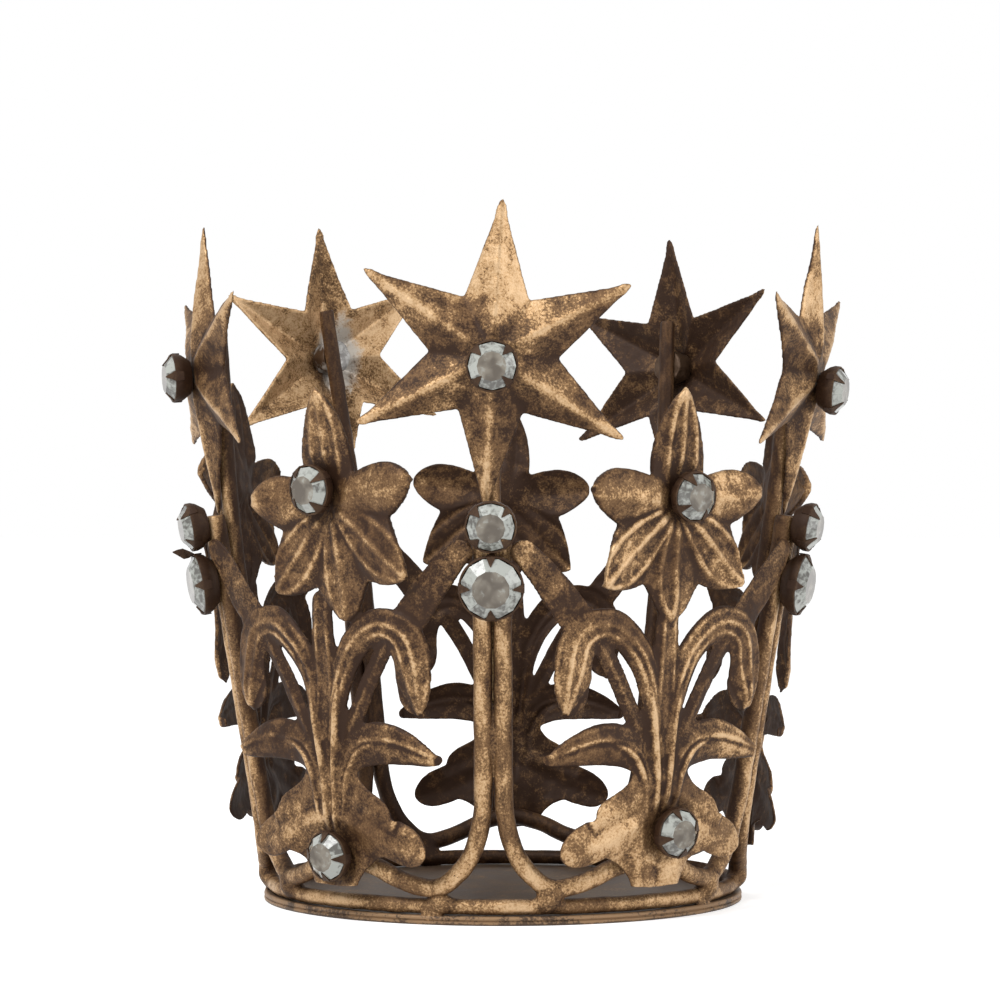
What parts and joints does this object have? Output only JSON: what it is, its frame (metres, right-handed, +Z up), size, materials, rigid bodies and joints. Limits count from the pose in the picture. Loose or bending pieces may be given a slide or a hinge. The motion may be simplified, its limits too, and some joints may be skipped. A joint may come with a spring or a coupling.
{
  "type": "crown",
  "caption": "Small votive crown of brazed wire and stamped sheet, with lily sprays, folded six-pointed stars and prong-set glass stones on a flat sheet floor.",
  "frame": {"origin": "centre of the floor plate, on the surface that the crown stands on", "axes": "+Z up through the open top, -Y towards the front post and its star, +X to the right seen from the front"},
  "size_m": [0.1316, 0.1341, 0.1368],
  "materials": {
    "floor_sheet": "aged dark brown sheet, lightly polished on its upper side",
    "gilt_wire": "round wire, dark brown patina with worn antique gold on the high side",
    "gilt_spray": "stamped sheet, dark brown patina with dry-brushed antique gold on the veins and edges",
    "gilt_star": "folded sheet, antique gold rubbed over brown patina along the ridges",
    "stone_cup": "thin turned cup with folded prongs, dark brown patina",
    "cut_glass": "clear cut glass with a foiled back, flat table and bevelled edge",
    "braze": "rounded lumps of brazing metal under the same brown patina",
    "solder": "dull grey soft solder"
  },
  "bodies": {
    "root": {"base_plate": "floor_sheet", "base_ring": "gilt_wire", "flower_spray_1": "gilt_spray", "flower_spray_2": "gilt_spray", "flower_spray_3": "gilt_spray", "flower_spray_4": "gilt_spray", "flower_spray_5": "gilt_spray", "foot_braze": "braze", "frame_wire_1": "gilt_wire", "frame_wire_2": "gilt_wire", "frame_wire_3": "gilt_wire", "frame_wire_4": "gilt_wire", "frame_wire_5": "gilt_wire", "post_braze": "braze", "post_cups_1": "stone_cup", "post_cups_2": "stone_cup", "post_cups_3": "stone_cup", "post_cups_4": "stone_cup", "post_cups_5": "stone_cup", "post_stones_1": "cut_glass", "post_stones_2": "cut_glass", "post_stones_3": "cut_glass", "post_stones_4": "cut_glass", "post_stones_5": "cut_glass", "ring_braze": "braze", "shoulder_braze": "braze", "spray_cups_1": "stone_cup", "spray_cups_2": "stone_cup", "spray_cups_3": "stone_cup", "spray_cups_4": "stone_cup", "spray_cups_5": "stone_cup", "spray_stones_1": "cut_glass", "spray_stones_2": "cut_glass", "spray_stones_3": "cut_glass", "spray_stones_4": "cut_glass", "spray_stones_5": "cut_glass", "star_1": "gilt_star", "star_2": "gilt_star", "star_3": "gilt_star", "star_4": "gilt_star", "star_5": "gilt_star", "star_cup_1": "stone_cup", "star_cup_2": "stone_cup", "star_cup_3": "stone_cup", "star_cup_4": "stone_cup", "star_cup_5": "stone_cup", "star_solder": "solder", "star_stem_1": "gilt_wire", "star_stem_2": "gilt_wire", "star_stem_3": "gilt_wire", "star_stem_4": "gilt_wire", "star_stem_5": "gilt_wire", "star_stone_1": "cut_glass", "star_stone_2": "cut_glass", "star_stone_3": "cut_glass", "star_stone_4": "cut_glass", "star_stone_5": "cut_glass"}
  },
  "joints": []
}
